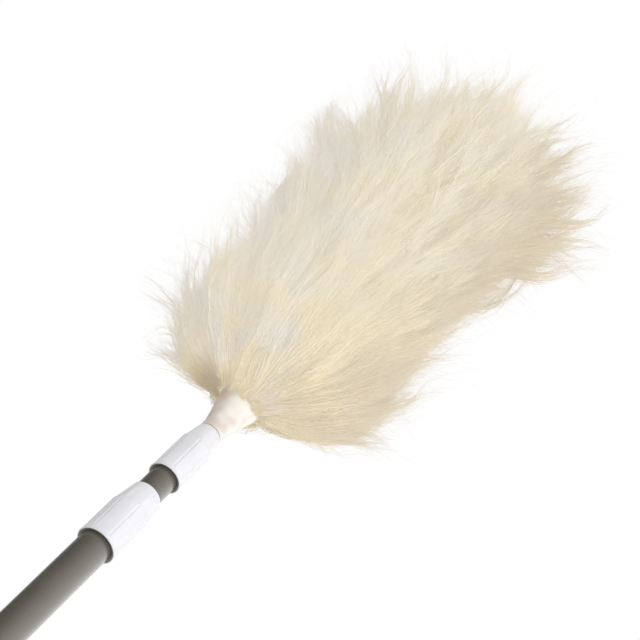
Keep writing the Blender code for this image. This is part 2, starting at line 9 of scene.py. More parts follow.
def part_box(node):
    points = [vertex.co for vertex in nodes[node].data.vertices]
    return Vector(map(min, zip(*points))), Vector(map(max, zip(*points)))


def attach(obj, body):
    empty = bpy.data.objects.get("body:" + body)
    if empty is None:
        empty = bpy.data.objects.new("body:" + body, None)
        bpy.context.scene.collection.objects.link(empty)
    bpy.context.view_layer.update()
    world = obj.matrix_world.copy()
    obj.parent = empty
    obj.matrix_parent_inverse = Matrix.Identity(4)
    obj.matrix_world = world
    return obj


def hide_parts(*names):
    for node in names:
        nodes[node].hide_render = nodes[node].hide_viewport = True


# Lambswool duster on a telescopic pole, dressed over its CAD frame. Metres, Z along the pole
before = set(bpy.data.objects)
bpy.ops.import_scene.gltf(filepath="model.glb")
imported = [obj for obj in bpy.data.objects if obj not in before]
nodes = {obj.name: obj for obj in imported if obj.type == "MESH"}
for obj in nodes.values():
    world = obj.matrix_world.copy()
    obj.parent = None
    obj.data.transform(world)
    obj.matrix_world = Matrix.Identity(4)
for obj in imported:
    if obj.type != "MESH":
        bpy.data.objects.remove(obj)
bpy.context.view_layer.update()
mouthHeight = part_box("ferrule_cone")[1].z
print("frame loaded:", len(nodes), "nodes")


# Small helpers for materials

def feed(tree, node, values):
    # a value is a plain one, or the socket that gives it
    for key, value in values.items():
        if isinstance(value, bpy.types.NodeSocket):
            tree.links.new(value, node.inputs[key])
        else:
            node.inputs[key].default_value = value


def addNode(tree, kind, place, settings=None, values=None):
    node = tree.nodes.new(kind)
    node.location = place
    for key, value in (settings or {}).items():
        setattr(node, key, value)
    feed(tree, node, values or {})
    return node


def calculate(tree, operation, place, first, second=None, clamp=False):
    values = {0: first} if second is None else {0: first, 1: second}
    return addNode(tree, "ShaderNodeMath", place, {"operation": operation, "use_clamp": clamp},
                   values).outputs["Value"]


def mapValue(tree, place, source, low, high, start=0.0, end=1.0, kind="LINEAR"):
    return addNode(tree, "ShaderNodeMapRange", place, {"interpolation_type": kind}, {
        "Value": source, "From Min": start, "From Max": end, "To Min": low, "To Max": high}).outputs["Result"]


def blendColours(tree, place, first, second, factor):
    # first and second are colours, or sockets that give one
    mix = addNode(tree, "ShaderNodeMix", place, {"data_type": "RGBA"}, {0: factor})
    for i, value in ((6, first), (7, second)):
        feed(tree, mix, {i: (*value, 1.0) if isinstance(value, tuple) else value})
    return mix.outputs[2]


def colourRamp(tree, place, stops, source):
    ramp = addNode(tree, "ShaderNodeValToRGB", place, None, {"Fac": source})
    while len(ramp.color_ramp.elements) < len(stops):
        ramp.color_ramp.elements.new(0.5)
    for element, (position, colour) in zip(ramp.color_ramp.elements, stops):
        element.position = position
        element.color = (*colour, 1.0)
    return ramp.outputs["Color"]


# Each group takes a Vector and plain numbers, and puts out masks
def startGroup(name, inputs, outputs):
    tree = bpy.data.node_groups.new(name, "ShaderNodeTree")
    tree.interface.new_socket(name="Vector", in_out="INPUT", socket_type="NodeSocketVector")
    for label, default in inputs.items():
        socket = tree.interface.new_socket(name=label, in_out="INPUT", socket_type="NodeSocketFloat")
        socket.default_value = default
    for label in outputs:
        tree.interface.new_socket(name=label, in_out="OUTPUT", socket_type="NodeSocketFloat")
    into = addNode(tree, "NodeGroupInput", (-900, 0)).outputs
    return tree, into, addNode(tree, "NodeGroupOutput", (700, 0))


# Streaks that run along Z: draw lines in a tube, flow marks in a moulding, grain in wood
def makeStreaksGroup():
    tree, into, out = startGroup(
        "lengthStreaks", {"Across": 400.0, "Along": 8.0, "Detail": 3.0}, ("Value", "Soft"))
    scale = addNode(tree, "ShaderNodeCombineXYZ", (-700, -200), None,
                    {"X": into["Across"], "Y": into["Across"], "Z": into["Along"]})
    stretch = addNode(tree, "ShaderNodeVectorMath", (-500, 0), {"operation": "MULTIPLY"},
                      {0: into["Vector"], 1: scale.outputs["Vector"]})
    noise = addNode(tree, "ShaderNodeTexNoise", (-300, 0), None, {
        "Vector": stretch.outputs["Vector"], "Scale": 1.0, "Detail": into["Detail"], "Roughness": 0.6})
    soft = mapValue(tree, (-50, -150), noise.outputs["Fac"], 0.0, 1.0, 0.35, 0.65, "SMOOTHSTEP")
    feed(tree, out, {"Value": noise.outputs["Fac"], "Soft": soft})
    return tree


# Handling marks: uneven patches with a finer grain in them
def makeHandlingGroup():
    tree, into, out = startGroup(
        "handlingMarks", {"Patch Scale": 60.0, "Grain Scale": 900.0, "Amount": 0.5}, ("Mask", "Grain"))
    patch = addNode(tree, "ShaderNodeTexNoise", (-600, 150), None, {
        "Vector": into["Vector"], "Scale": into["Patch Scale"], "Detail": 4.0, "Roughness": 0.62})
    grain = addNode(tree, "ShaderNodeTexNoise", (-600, -150), None, {
        "Vector": into["Vector"], "Scale": into["Grain Scale"], "Detail": 2.0}).outputs["Fac"]
    mask = mapValue(tree, (-350, 150), patch.outputs["Fac"], 0.0, 1.0, 0.45, 0.72, "SMOOTHSTEP")
    mask = calculate(tree, "MULTIPLY", (-100, 100), mask, grain)
    mask = calculate(tree, "MULTIPLY", (100, 100), mask, into["Amount"], True)
    feed(tree, out, {"Mask": mask, "Grain": grain})
    return tree


# Painted shade with fine dirt next to a rim at one height on the pole
def makeRimGroup():
    tree, into, out = startGroup("rimShadeAndDirt", {"Height": 0.0, "Reach": 0.004, "Amount": 0.5}, ("Mask",))
    apart = addNode(tree, "ShaderNodeSeparateXYZ", (-700, 100), None, {0: into["Vector"]})
    away = calculate(tree, "SUBTRACT", (-520, 100), apart.outputs["Z"], into["Height"])
    away = calculate(tree, "ABSOLUTE", (-360, 100), away)
    away = calculate(tree, "DIVIDE", (-200, 100), away, into["Reach"])
    mask = mapValue(tree, (-40, 100), away, 0.0, 1.0, 1.0, 0.0, "SMOOTHSTEP")
    noise = addNode(tree, "ShaderNodeTexNoise", (-360, -150), None,
                    {"Vector": into["Vector"], "Scale": 700.0, "Detail": 3.0})
    mask = calculate(tree, "MULTIPLY", (150, 50), mask, noise.outputs["Fac"])
    feed(tree, out, {"Mask": calculate(tree, "MULTIPLY", (320, 50), mask, into["Amount"], True)})
    return tree


lengthStreaks = makeStreaksGroup()
handlingMarks = makeHandlingGroup()
rimShadeAndDirt = makeRimGroup()


def placePart(tree, kind, place, where, values):
    # kind is one of the groups, or the type of a node that takes a Vector
    values = {"Vector": where, **values}
    if isinstance(kind, str):
        return addNode(tree, kind, place, None, values).outputs
    return addNode(tree, "ShaderNodeGroup", place, {"node_tree": kind}, values).outputs


def startMaterial(name, values):
    material = bpy.data.materials.new(name)
    material.use_nodes = True
    shader = material.node_tree.nodes["Principled BSDF"]
    feed(material.node_tree, shader, values)
    return material, material.node_tree, shader


# Colours laid over the first one, each by a mask from one of the parts, then painted shade with dirt at the
# rims.
# Four numbers after a mask say what it runs between, and over which values
def makeMaterial(name, look):
    material, tree, shader = startMaterial(name, look["shader"])
    where = addNode(tree, "ShaderNodeTexCoord", (-1300, 0)).outputs["Object"]
    parts = {part: placePart(tree, kind, (-1050, 350 - 250 * i), where, values)
             for i, (part, (kind, values)) in enumerate(look["parts"].items())}
    colour = look["colour"]
    for i, (hue, part, output, *span) in enumerate(look["layers"]):
        mask = parts[part][output]
        if span:
            mask = mapValue(tree, (-800, 450 - 250 * i), mask, *span)
        colour = blendColours(tree, (-600 + 120 * i, 300), colour, hue, mask)
    # darker next to each rim: painted shade where the parts meet, with some dirt
    for i, height in enumerate(look.get("rims", ())):
        rim = placePart(tree, rimShadeAndDirt, (-1050, -450 - 200 * i), where, {"Height": height, **look["rim"]})
        colour = blendColours(tree, (-350 + 60 * i, 100 - 150 * i), colour, look["shadeAndDirt"], rim["Mask"])
    part, output, low, high = look["rough"]
    rough = mapValue(tree, (-300, -200), parts[part][output], low, high)
    part, output, strength, distance = look["bump"]
    bump = addNode(tree, "ShaderNodeBump", (-250, -450), None, {
        "Strength": strength, "Distance": distance, "Height": parts[part][output]})
    feed(tree, shader, {"Base Color": colour, "Roughness": rough, "Normal": bump.outputs["Normal"]})
    return material


# Materials

tubePaintLook = {
    "shader": {"Specular IOR Level": 0.50, "Coat Weight": 0.75, "Coat Roughness": 0.16},
    "parts": {"streaks": (lengthStreaks, {"Across": 900.0, "Along": 14.0}),
              "marks": (handlingMarks, {"Patch Scale": 45.0, "Grain Scale": 2400.0, "Amount": 0.7})},
    "colour": (0.082, 0.073, 0.058),
    "layers": (((0.112, 0.101, 0.081), "streaks", "Value", 0.80, 1.0, 0.3, 0.55),
               ((0.136, 0.124, 0.102), "marks", "Mask")),
    # darker next to the collar rims on the tube: painted shade with some dirt
    "shadeAndDirt": (0.082, 0.073, 0.058), "rims": (0.3963, 0.4498, 0.4693, 0.5212),
    "rim": {"Reach": 0.0045, "Amount": 0.65},
    "rough": ("marks", "Mask", 0.36, 0.54), "bump": ("marks", "Grain", 0.12, 0.0002)}
whitePlasticLook = {
    "shader": {"Specular IOR Level": 0.45, "IOR": 1.5},
    "parts": {"flow": (lengthStreaks, {"Across": 120.0, "Along": 30.0}),
              "marks": (handlingMarks, {"Patch Scale": 110.0, "Grain Scale": 3200.0, "Amount": 0.5})},
    "colour": (0.690, 0.682, 0.716),
    "layers": (((0.780, 0.771, 0.799), "flow", "Value", 0.4, 1.0, 0.3, 0.6),),
    # darker at the collars' rear rims: painted shade with some dirt
    "shadeAndDirt": (0.50, 0.48, 0.47), "rims": (0.3968, 0.4698), "rim": {"Reach": 0.0020, "Amount": 0.30},
    "rough": ("marks", "Mask", 0.34, 0.52), "bump": ("marks", "Grain", 0.06, 0.00015)}
# The neck is thick and cool, the cup thin and warm with painted light shining through its wall, with flow
# marks and soft rosy clouds, and painted shade on the cone's -X side
ferruleLook = {
    "shader": {"Specular IOR Level": 0.5, "Coat Weight": 0.3, "Coat Roughness": 0.25},
    "parts": {"place": ("ShaderNodeSeparateXYZ", {}),
              "flow": (lengthStreaks, {"Across": 90.0, "Along": 60.0}),
              "marks": (handlingMarks, {"Patch Scale": 90.0, "Grain Scale": 3000.0, "Amount": 0.5}),
              "clouds": ("ShaderNodeTexNoise", {"Scale": 75.0, "Detail": 1.5})},
    "colour": (0.740, 0.770, 0.760),
    # lighter and warmer up the cup: painted light shining through the thin wall
    "layers": (((0.850, 0.815, 0.750), "place", "Z", 0.0, 1.0, 0.522, 0.534),
               ((0.850, 0.790, 0.690), "place", "Z", 0.0, 1.0, 0.538, 0.5572),
               ((0.850, 0.815, 0.750), "flow", "Value", 0.0, 0.7, 0.4, 0.7),
               ((0.660, 0.545, 0.475), "clouds", "Fac", 0.0, 0.80, 0.50, 0.74),
               # darker and browner towards -X: painted shade on that side of the cone
               ((0.560, 0.440, 0.345), "place", "X", 0.0, 0.65, -0.0045, -0.0125)),
    "rough": ("marks", "Mask", 0.30, 0.46), "bump": ("marks", "Grain", 0.05, 0.00015)}
bushPlasticLook = {
    "shader": {"Specular IOR Level": 0.4},
    "parts": {"marks": (handlingMarks, {"Patch Scale": 160.0, "Grain Scale": 1800.0, "Amount": 0.9})},
    "colour": (0.022, 0.022, 0.024), "layers": (((0.070, 0.070, 0.072), "marks", "Mask"),),
    "rough": ("marks", "Mask", 0.38, 0.62), "bump": ("marks", "Grain", 0.15, 0.0002)}
bareSteelLook = {
    "shader": {"Metallic": 1.0},
    "parts": {"marks": (handlingMarks, {"Patch Scale": 500.0, "Grain Scale": 2600.0, "Amount": 1.0})},
    "colour": (0.58, 0.57, 0.55), "layers": (((0.40, 0.38, 0.35), "marks", "Mask"),),
    "rough": ("marks", "Mask", 0.26, 0.50), "bump": ("marks", "Grain", 0.10, 0.0001)}
rodWoodLook = {
    "shader": {"Specular IOR Level": 0.3},
    "parts": {"grain": (lengthStreaks, {"Across": 260.0, "Along": 7.0, "Detail": 5.0}),
              "flecks": (lengthStreaks, {"Across": 1500.0, "Along": 120.0})},
    "colour": (0.58, 0.40, 0.23),
    "layers": (((0.44, 0.28, 0.14), "grain", "Soft"),
               ((0.36, 0.21, 0.10), "flecks", "Value", 0.0, 0.6, 0.60, 0.75)),
    "rough": ("grain", "Value", 0.55, 0.75), "bump": ("flecks", "Value", 0.25, 0.0003)}
hideLeatherLook = {
    "shader": {"Specular IOR Level": 0.25},
    "parts": {"pores": ("ShaderNodeTexVoronoi", {"Scale": 900.0}),
              "marks": (handlingMarks, {"Patch Scale": 70.0, "Grain Scale": 1200.0, "Amount": 1.0})},
    "colour": (0.66, 0.55, 0.40),
    "layers": (((0.52, 0.41, 0.27), "marks", "Mask"),
               ((0.74, 0.64, 0.49), "pores", "Distance", 0.5, 0.0, 0.0, 0.4)),
    "rough": ("marks", "Mask", 0.72, 0.9), "bump": ("pores", "Distance", 0.3, 0.0004)}
# the undercoat is golden like the roots and a little darker: painted shade deep in the wool
woolUnderShadeLook = {
    "shader": {"Specular IOR Level": 0.15},
    "parts": {"streaks": (lengthStreaks, {"Across": 420.0, "Along": 60.0, "Detail": 4.0}),
              "patches": ("ShaderNodeTexNoise", {"Scale": 45.0, "Detail": 3.0})},
    "colour": (0.88, 0.77, 0.56),
    "layers": (((0.95, 0.86, 0.67), "streaks", "Soft"),
               ((0.96, 0.90, 0.76), "patches", "Fac", 0.0, 0.7, 0.4, 0.7)),
    "rough": ("streaks", "Value", 0.8, 0.95), "bump": ("streaks", "Value", 0.8, 0.002)}

# Hair colour: across the map each hair has its own tone, with painted shade in the lowest tones, and along it
# the root is golden.
# A range is what a mask runs between and over which values, and a patch is its hue, its noise
# scale, its most, how it leans over the head, and its edges
woolLook = {
    "shader": {"Specular IOR Level": 0.2, "Sheen Weight": 0.12, "Sheen Roughness": 0.4},
    "roots": (
        (0.0, (0.430, 0.346, 0.237)), (0.25, (0.840, 0.693, 0.456)), (0.5, (0.950, 0.827, 0.570)),
        (1.0, (0.970, 0.871, 0.665))),
    "middles": (
        (0.0, (0.680, 0.594, 0.465)), (0.25, (0.930, 0.792, 0.551)), (0.5, (0.985, 0.871, 0.646)),
        (1.0, (0.990, 0.916, 0.731))),
    "tips": (
        (0.0, (0.860, 0.792, 0.655)), (0.25, (0.920, 0.842, 0.684)), (0.5, (0.960, 0.876, 0.727)),
        (1.0, (0.980, 0.926, 0.807))),
    "middleRange": (0.0, 1.0, 0.28, 0.68), "tipRange": (0.0, 1.0, 0.62, 1.0),
    "patches": (((1.000, 0.860, 0.600), 24.0, 0.62, (1.2, 0.0, -1.6), (-0.72, -0.36)),
                ((0.925, 0.868, 0.785), 31.0, 0.75, (-2.6, 0.0, -0.2), (0.38, 0.62)),
                # the third patch, darker towards +X, is painted shade on that side of the head
                ((0.720, 0.615, 0.475), 27.0, 0.65, (6.5, 0.0, 0.3), (0.74, 1.12))),
    "nook": (0.68, 0.63, 0.58), "nookPlace": (-0.017, 0.010, mouthHeight + 0.006),
    "nookRange": (0.0, 1.0, 0.012, 0.032), "footRange": (0.45, 1.0, 0.02, 0.10), "rough": (0.80, 0.62)}


def makeWoolHair():
    look = woolLook
    material, tree, shader = startMaterial("woolHair", look["shader"])
    place = addNode(tree, "ShaderNodeTexCoord", (-1300, -800)).outputs["Object"]
    where = addNode(tree, "ShaderNodeUVMap", (-1300, 300), {"uv_map": "OFBake"}).outputs["UV"]
    apart = addNode(tree, "ShaderNodeSeparateXYZ", (-1100, 300), None, {0: where}).outputs
    ramps = [colourRamp(tree, (-850, 400 - 260 * i), look[part], apart["X"])
             for i, part in enumerate(("roots", "middles", "tips"))]
    colour = blendColours(tree, (-500, 200), ramps[0], ramps[1],
                          mapValue(tree, (-850, -400), apart["Y"], *look["middleRange"]))
    colour = blendColours(tree, (-300, 200), colour, ramps[2],
                          mapValue(tree, (-850, -600), apart["Y"], *look["tipRange"]))
    # broad golden and rosy grey patches over the head, and painted shade on the +X side
    for i, (hue, scale, most, lean, edges) in enumerate(look["patches"]):
        low = -800 - 250 * i
        patch = addNode(tree, "ShaderNodeTexNoise", (-1050, low), None,
                        {"Vector": place, "Scale": scale, "Detail": 2.0})
        slope = addNode(tree, "ShaderNodeVectorMath", (-1050, low - 120), {"operation": "DOT_PRODUCT"},
                        {0: place, 1: lean})
        total = calculate(tree, "ADD", (-950, low), patch.outputs["Fac"], slope.outputs["Value"])
        colour = blendColours(tree, (-150 + 150 * i, 200), colour, hue,
                              mapValue(tree, (-850, low), total, 0.0, most, *edges))
    # shade where the wool closes behind the cone, and at each hair's foot
    near = addNode(tree, "ShaderNodeVectorMath", (-1050, -1600), {"operation": "DISTANCE"},
                   {0: place, 1: look["nookPlace"]})
    least = calculate(tree, "MINIMUM", (-500, -1600),
                      mapValue(tree, (-850, -1600), near.outputs["Value"], *look["nookRange"]),
                      mapValue(tree, (-850, -1850), apart["Y"], *look["footRange"]), True)
    dim = blendColours(tree, (200, 0), look["nook"], (1.0, 1.0, 1.0), least)
    product = addNode(tree, "ShaderNodeMix", (400, 200), {"data_type": "RGBA", "blend_type": "MULTIPLY"},
                      {0: 1.0, 6: colour, 7: dim})
    feed(tree, shader, {"Base Color": product.outputs[2],
                        "Roughness": mapValue(tree, (-300, -200), apart["Y"], *look["rough"])})
    return material


finish = {
    "tube_paint": makeMaterial("tubePaint", tubePaintLook),
    "white_plastic": makeMaterial("whitePlastic", whitePlasticLook),
    "ferrule_plastic": makeMaterial("ferrulePlastic", ferruleLook),
    "bush_plastic": makeMaterial("bushPlastic", bushPlasticLook),
    "bare_steel": makeMaterial("bareSteel", bareSteelLook),
    "rod_wood": makeMaterial("rodWood", rodWoodLook),
    "hide_leather": makeMaterial("hideLeather", hideLeatherLook), "wool": makeWoolHair()}
woolUnder = makeMaterial("woolUnder", woolUnderShadeLook)
print("materials made:", len(finish) + 1)

# The pieces inside the pole and the head keep their CAD shape and get the finish of their slot
nodeFinish = {
    "bush_plastic": ("middle_guide_ring", "middle_end_plug", "inner_guide_ring", "inner_end_plug"),
    "white_plastic": ("outer_collet", "inner_collet"),
    "bare_steel": (
        "outer_collet_pin_left", "outer_collet_pin_right", "inner_collet_pin_left",
        "inner_collet_pin_right", "rod_pin_left", "rod_pin_right", "strip_tack_bottom",
        "strip_tack_top"),
    "rod_wood": ("core_rod",), "hide_leather": ("hide_strip",)}
for slotName, members in nodeFinish.items():
    for member in members:
        mesh = nodes[member].data
        mesh.materials.clear()
        mesh.materials.append(finish[slotName])


# The pole

def roundCorners(corners, steps=4):
    # corners are (radius, height, how far from the corner the rounding starts)
    points = []
    for i, (r, z, reach) in enumerate(corners):
        here = Vector((r, z))
        if reach == 0:
            points.append((r, z))
            continue
        before = Vector(corners[i - 1][:2])
        after = Vector(corners[(i + 1) % len(corners)][:2])
        start = here + (before - here).normalized() * reach
        end = here + (after - here).normalized() * reach
        for k in range(steps + 1):
            t = k / steps
            p = start * (1 - t) ** 2 + here * (2 * t * (1 - t)) + end * t ** 2
            points.append((p.x, p.y))
    return points


def turnPiece(profile, sides, closed=True):
    bm = bmesh.new()
    verts = [bm.verts.new((r, 0.0, z)) for r, z in profile]
    edges = [bm.edges.new(pair) for pair in zip(verts, verts[1:])]
    if closed:
        edges.append(bm.edges.new((verts[-1], verts[0])))
    bmesh.ops.spin(bm, geom=verts + edges, cent=(0, 0, 0), axis=(0, 0, 1),
                   angle=2 * math.pi, steps=sides, use_merge=True)
    bmesh.ops.remove_doubles(bm, verts=bm.verts, dist=1e-6)
    bmesh.ops.recalc_face_normals(bm, faces=bm.faces)
    return bm


def addObject(name, mesh):
    obj = bpy.data.objects.new(name, mesh)
    bpy.context.scene.collection.objects.link(obj)
    return obj


def finishPiece(name, bm, body, slotName, replaced, sharp=38, material=None):
    mesh = bpy.data.meshes.new(name)
    bm.to_mesh(mesh)
    bm.free()
    mesh.materials.append(material or finish[slotName])
    mesh.shade_smooth()
    mesh.set_sharp_from_angle(angle=math.radians(sharp))
    obj = addObject(name, mesh)
    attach(obj, body)
    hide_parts(replaced)
    return obj


tubeShape = {"wall": 0.0006, "edge": 0.00015, "sides": 96, "sharp": 30}

for size in ("outer", "middle", "inner"):
    low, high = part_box(size + "_tube")
    bore, edge = high.x - tubeShape["wall"], tubeShape["edge"]
    profile = roundCorners([(high.x, high.z, edge), (high.x, low.z, edge),
                            (bore, low.z, edge), (bore, high.z, edge)], 2)
    finishPiece(size + "TubeSkin", turnPiece(profile, tubeShape["sides"]), size + "_section",
                "tube_paint", size + "_tube", tubeShape["sharp"])
print("tubes made")

# carrier and passing are the radii of the tube that the collar sits on and of the one it clamps
collarSizes = {
    "outer": {"carrier": 0.0110, "passing": 0.0093, "lip": 0.0105, "turn": 18.0},
    "inner": {"carrier": 0.0093, "passing": 0.0076, "lip": 0.0085, "turn": 5.0}}
collarShape = {
    "fit": 0.0003, "colletWall": 0.0008, "overTube": 0.028, "fingers": 0.0135, "fingerTip": 0.0008,
    "grip": 0.035, "taperCurve": 1.18, "shoulder": 0.00045, "shoulderEnd": 0.07, "sides": 196,
    "rearEdge": 0.0007, "boreEdge": 0.00012, "lipEdge": 0.0004, "rearWall": 0.0008,
    "ringHeight": 0.0016, "ringInset": 0.0002, "ringGap": (0.0001, 0.00005), "ringEdge": (0.0002, 0.0001),
    "ringSides": 112,
    # rows over the grip: close together at both ends of the grooves
    "gripRows": ((0.0008, 0.0042, 12), (0.0060, 0.0310, 14), (0.0322, 0.0343, 9)),
    "flat": 0.42, "panelPower": 1.8, "panelStart": 0.004, "panelEnd": 0.010, "skin": 0.0002,
    "grooves": 7, "grooveWidth": 0.0021, "grooveDepth": 0.00062, "grooveStart": 0.0028,
    "grooveEnd": 0.0346, "grooveBall": 0.0009}


def makeCollar(size, collar):
    shape = collarShape
    low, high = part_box(size + "_collar")
    rear, front, radius = low.z, high.z, high.x
    fit, edge = shape["fit"], shape["rearEdge"]
    skirtBore = collar["carrier"] + 2 * fit + shape["colletWall"]
    lipBore = collar["passing"] + fit
    coneTop = rear + shape["overTube"] + 2 * fit + shape["fingers"]
    coneTopRadius = lipBore + shape["fingerTip"] + fit
    gripEnd = rear + shape["grip"]
    gripRows = [rear + edge + d for row in shape["gripRows"] for d in np.linspace(*row)]
    taper = [(radius - shape["shoulder"] * min(1.0, s / shape["shoulderEnd"])
              - (radius - shape["shoulder"] - collar["lip"]) * s ** shape["taperCurve"],
              gripEnd + (front - shape["lipEdge"] - gripEnd) * s)
             for s in (0.02, 0.045, 0.07, *np.linspace(0.10, 1.0, 18))]
    outer = roundCorners([(lipBore, front, 0.0), (collar["lip"], front, shape["lipEdge"]),
                          (*taper[-1], 0.0)], 3)[:-1]
    outer += taper[::-1][1:] + [(radius, z) for z in gripRows[::-1]]
    seat = rear + shape["ringHeight"] + 2 * shape["ringInset"]
    rearBore = radius - shape["rearWall"]
    outer += roundCorners([
        (radius, gripRows[0], 0.0), (radius, rear, edge * 0.5), (rearBore, rear, shape["boreEdge"]),
        (rearBore, seat, 0.0), (skirtBore, seat, 0.0)], 4)[1:]
    inner = [(skirtBore, rear + shape["overTube"]), (coneTopRadius, coneTop), (lipBore, coneTop)]
    bm = turnPiece(outer + inner, shape["sides"])

    # flattened panels with a fine groove between each two
    sector = 2 * math.pi / shape["grooves"]
    turn = math.radians(collar["turn"])
    for vert in bm.verts:
        r = math.hypot(vert.co.x, vert.co.y)
        sectors = (math.atan2(vert.co.y, vert.co.x) - turn) / sector
        place = (sectors + 0.5) % 1.0 - 0.5
        across = math.copysign(0.5 * abs(2 * place) ** shape["panelPower"], place)
        angle = turn + sector * (round(sectors - place) + across)
        along = vert.co.z - rear
        isFront = r > collar["lip"] - shape["skin"] and along > shape["overTube"]
        if r > skirtBore + shape["skin"] or isFront:
            panel = math.cos(math.pi / shape["grooves"]) / math.cos((abs(across) - 0.5) * sector)
            ends = min(1.0, max(0.0, along / shape["panelStart"])) * min(
                1.0, max(0.0, (front - vert.co.z) / shape["panelEnd"]))
            r *= 1 - shape["flat"] * ends * (1 - panel)
            arc = abs(across) * sector * radius / (shape["grooveWidth"] / 2)
            fall = min(along - shape["grooveStart"], shape["grooveEnd"] - along) / shape["grooveBall"]
            if arc < 1 and fall > 0:
                r -= shape["grooveDepth"] * (1 - arc ** 2) * math.sqrt(min(1.0, fall))
        vert.co.x, vert.co.y = r * math.cos(angle), r * math.sin(angle)
    finishPiece(size + "CollarShell", bm, size + "_collar", "white_plastic", size + "_collar")

    # grey ring that closes the rear of the collar round the tube
    low = rear + shape["ringInset"]
    high = low + shape["ringHeight"]
    inside, outside = collar["carrier"] + shape["ringGap"][0], rearBore - shape["ringGap"][1]
    soft, fine = shape["ringEdge"]
    ring = roundCorners([(inside, low, soft), (inside, high, soft), (outside, high, fine),
                         (outside, low, fine)], 3)
    finishPiece(size + "CollarRing", turnPiece(ring, shape["ringSides"]), size + "_collar", "tube_paint",
                size + "_collar")


for size, collar in collarSizes.items():
    makeCollar(size, collar)
print("collars made")

ferruleShape = {
    "neck": 0.00835, "neckLength": 0.0055, "mouth": 0.0150, "wall": 0.0012, "cup": 0.0045,
    "cupRoot": 0.0127, "seat": 0.0125, "curve": 1.12, "swell": 0.035, "swellFrom": 0.35,
    "hole": 0.0067, "rod": 0.0093, "rows": 26, "sides": 112}


def makeFerrule():
    shape = ferruleShape
    low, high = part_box("ferrule_cone")
    neckTop = low.z + shape["neckLength"]
    flare = []
    for s in np.linspace(0.0, 1.0, shape["rows"])[1:-1]:
        ease = s ** shape["curve"] + shape["swell"] * math.sin(math.pi * s) * (s - shape["swellFrom"])
        flare.append((shape["neck"] + (shape["mouth"] - shape["neck"]) * ease,
                      neckTop + (high.z - neckTop) * s, 0.0))
    cupFloor, seat = high.z - shape["cup"], high.z - shape["seat"]
    corners = [
        (shape["hole"], low.z, 0.0003), (shape["neck"], low.z, 0.0005), (shape["neck"], neckTop, 0.0012),
        *flare, (shape["mouth"], high.z, 0.0004), (shape["mouth"] - shape["wall"], high.z, 0.0004),
        (shape["cupRoot"], cupFloor, 0.0006), (shape["rod"], cupFloor, 0.0), (shape["rod"], seat, 0.0),
        (shape["hole"], seat, 0.0)]
    finishPiece("ferruleShell", turnPiece(roundCorners(corners, 3), shape["sides"]), "inner_section",
                "ferrule_plastic", "ferrule_cone")


makeFerrule()

capShape = {
    "rim": 0.0030, "spigot": 0.0101, "spigotBore": 0.0079, "shoulder": 0.024, "sides": 96, "sharp": 35,
    "holeRadius": 0.0045, "holeHeight": 0.0125, "holeLength": 0.04, "holeSides": 64, "holeEdge": 0.0004}


def makeCap():
    shape = capShape
    low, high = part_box("hang_cap")
    corners = [
        (0.0, low.z, 0.0), (high.x, low.z, shape["rim"]), (high.x, shape["shoulder"], 0.0004),
        (shape["spigot"], shape["shoulder"], 0.0002), (shape["spigot"], high.z, 0.0010),
        (shape["spigotBore"], high.z, 0.0002), (shape["spigotBore"], shape["shoulder"], 0.0004),
        (0.0, shape["shoulder"], 0.0)]
    bm = turnPiece(roundCorners(corners, 6), shape["sides"], closed=False)
    cap = finishPiece("hangCapShell", bm, "outer_section", "white_plastic", "hang_cap", shape["sharp"])
    # the hanging hole, with a soft edge where it leaves the side
    cutter = bmesh.new()
    bmesh.ops.create_cone(
        cutter, cap_ends=True, segments=shape["holeSides"], radius1=shape["holeRadius"],
        radius2=shape["holeRadius"], depth=shape["holeLength"],
        matrix=Matrix.Translation((0, 0, shape["holeHeight"])) @ Matrix.Rotation(math.pi / 2, 4, "Y"))
    mesh = bpy.data.meshes.new("holeBar")
    cutter.to_mesh(mesh)
    cutter.free()
    bar = addObject("holeBar", mesh)
    boolean = cap.modifiers.new("hole", "BOOLEAN")
    boolean.operation = "DIFFERENCE"
    boolean.solver = "EXACT"
    boolean.object = bar
    graph = bpy.context.evaluated_depsgraph_get()
    cut = bpy.data.meshes.new_from_object(cap.evaluated_get(graph))
    cap.modifiers.clear()
    bpy.data.objects.remove(bar)
    cap.data = cut
    bm = bmesh.new()
    bm.from_mesh(cut)
    rim = [e for e in bm.edges if len(e.link_faces) == 2 and e.calc_face_angle(0) > math.radians(38)
           and all(abs(math.hypot(v.co.y, v.co.z - shape["holeHeight"]) - shape["holeRadius"]) < 1e-5
                   for v in e.verts)]
    bmesh.ops.bevel(bm, geom=rim, offset=shape["holeEdge"], offset_type="OFFSET", affect="EDGES",
                    segments=2, profile=0.5, material=-1)
    bm.to_mesh(cut)
    bm.free()
    cut.shade_smooth()
    cut.set_sharp_from_angle(angle=math.radians(shape["sharp"]))


makeCap()
print("ferrule and cap made")


# The wool

